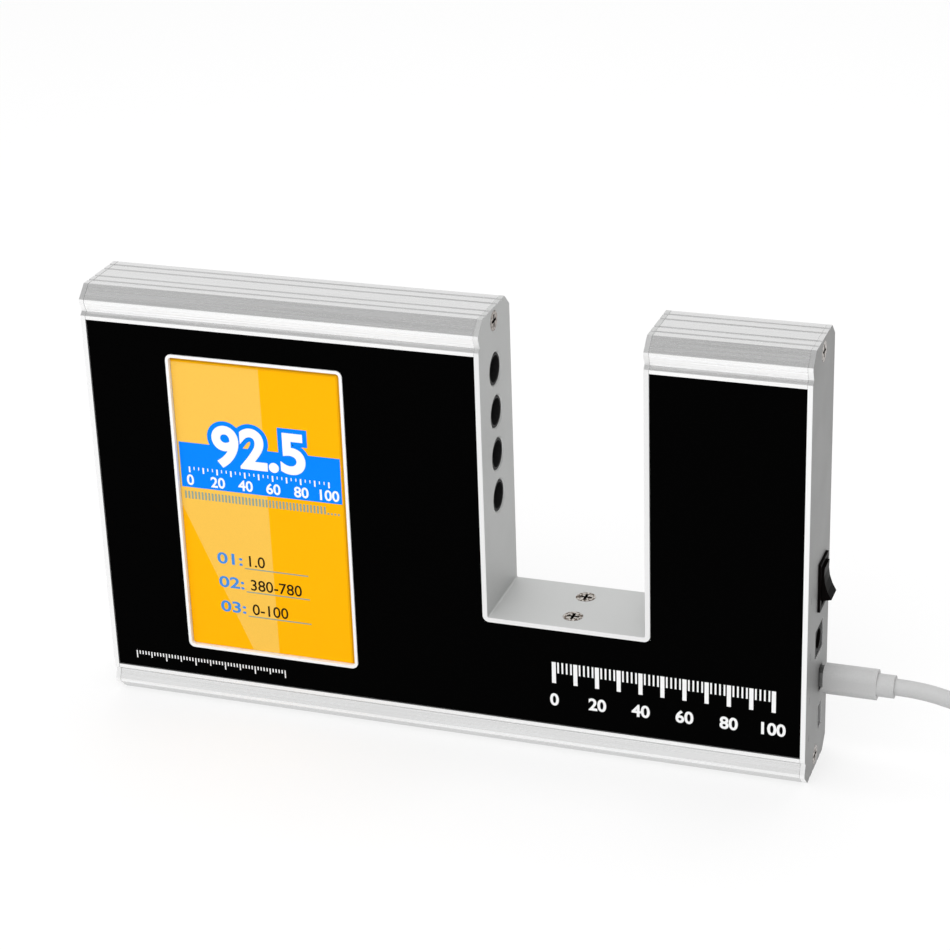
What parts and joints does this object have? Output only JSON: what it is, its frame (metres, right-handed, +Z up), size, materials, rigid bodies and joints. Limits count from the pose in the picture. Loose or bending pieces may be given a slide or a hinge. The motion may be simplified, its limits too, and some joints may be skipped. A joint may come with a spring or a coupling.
{
  "type": "light transmission meter",
  "caption": "Bench meter with a U-shaped aluminium case: a sample stands in its deep slot and a colour display shows how much light passes through it.",
  "frame": {"origin": "bottom centre of the box that the meter fills without its lead, on the surface that it stands on", "axes": "+X along the case towards the end with the switch and the sockets, +Y from the display's face to the back, +Z up"},
  "size_m": [0.432, 0.0404, 0.135],
  "materials": {
    "case_aluminium": "fine satin anodised extrusion, pale silver",
    "plate_aluminium": "satin grey sheet with bright cut edges",
    "panel_black": "deep black printed panel, soft gloss",
    "bezel_white": "white frame",
    "screen": "lit display face under glass",
    "display_metal": "thin pressed tray",
    "screw_steel": "plated steel screws",
    "switch_black": "black moulded plastic",
    "terminal_brass": "brass blades, pins and standoffs",
    "socket_metal": "plated socket shell",
    "tube_black": "matt black baffle tube",
    "optic_glass": "coated optical glass",
    "board_green": "green printed circuit board",
    "cell_wrap": "shrink-wrapped cell",
    "cradle_plastic": "black cradle",
    "bar_aluminium": "machined bar",
    "wire_grey": "insulated wire and ribbon",
    "lead_grey": "light grey moulded plastic",
    "lead_metal": "plated plug shell",
    "tie_black": "hook and loop strap"
  },
  "bodies": {
    "root": {"battery_cell": "cell_wrap", "battery_cradle": "cradle_plastic", "case_profile": "case_aluminium", "data_socket": "socket_metal", "display_bezel": "bezel_white", "display_glass": "screen", "display_panel": "screen", "display_tray": "display_metal", "end_plate_screws": "screw_steel", "front_panel": "panel_black", "io_board": "board_green", "io_board_posts": "terminal_brass", "left_end_plate": "plate_aluminium", "light_board": "board_green", "light_cable": "wire_grey", "light_lens_1": "optic_glass", "light_lens_2": "optic_glass", "light_lens_3": "optic_glass", "light_lens_4": "optic_glass", "light_tube_1": "tube_black", "light_tube_2": "tube_black", "light_tube_3": "tube_black", "light_tube_4": "tube_black", "liner_floor_bar": "bar_aluminium", "liner_floor_screws": "screw_steel", "liner_side_screws": "screw_steel", "main_board": "board_green", "main_board_screws": "screw_steel", "main_board_standoffs": "terminal_brass", "power_cable": "wire_grey", "power_jack": "switch_black", "power_jack_pin": "terminal_brass", "rear_panel": "panel_black", "right_end_plate": "plate_aluminium", "sensor_board": "board_green", "sensor_cable": "wire_grey", "sensor_filter_1": "optic_glass", "sensor_filter_2": "optic_glass", "sensor_filter_3": "optic_glass", "sensor_filter_4": "optic_glass", "sensor_tube_1": "tube_black", "sensor_tube_2": "tube_black", "sensor_tube_3": "tube_black", "sensor_tube_4": "tube_black", "slot_liner": "plate_aluminium", "switch_housing": "switch_black", "switch_terminals": "terminal_brass", "usb_socket": "socket_metal"},
    "rocker": {"switch_rocker": "switch_black"},
    "lead": {"lead_plug_shell": "lead_metal", "lead_plug_grip": "lead_grey", "lead_cord": "lead_grey", "lead_hank": "lead_grey", "lead_tie": "tie_black", "lead_far_grip": "lead_grey", "lead_far_shell": "lead_metal"}
  },
  "joints": [
    {"name": "rocker_tip", "type": "hinge", "parent": "root", "child": "rocker", "pos_m": [0.10676, 0.0036, 0.059], "axis": [0, 1, 0], "range_deg": [0, 25]},
    {"name": "lead_unplug", "type": "slide", "parent": "root", "child": "lead", "axis": [1, 0, 0], "range_m": [0, 0.012]}
  ]
}
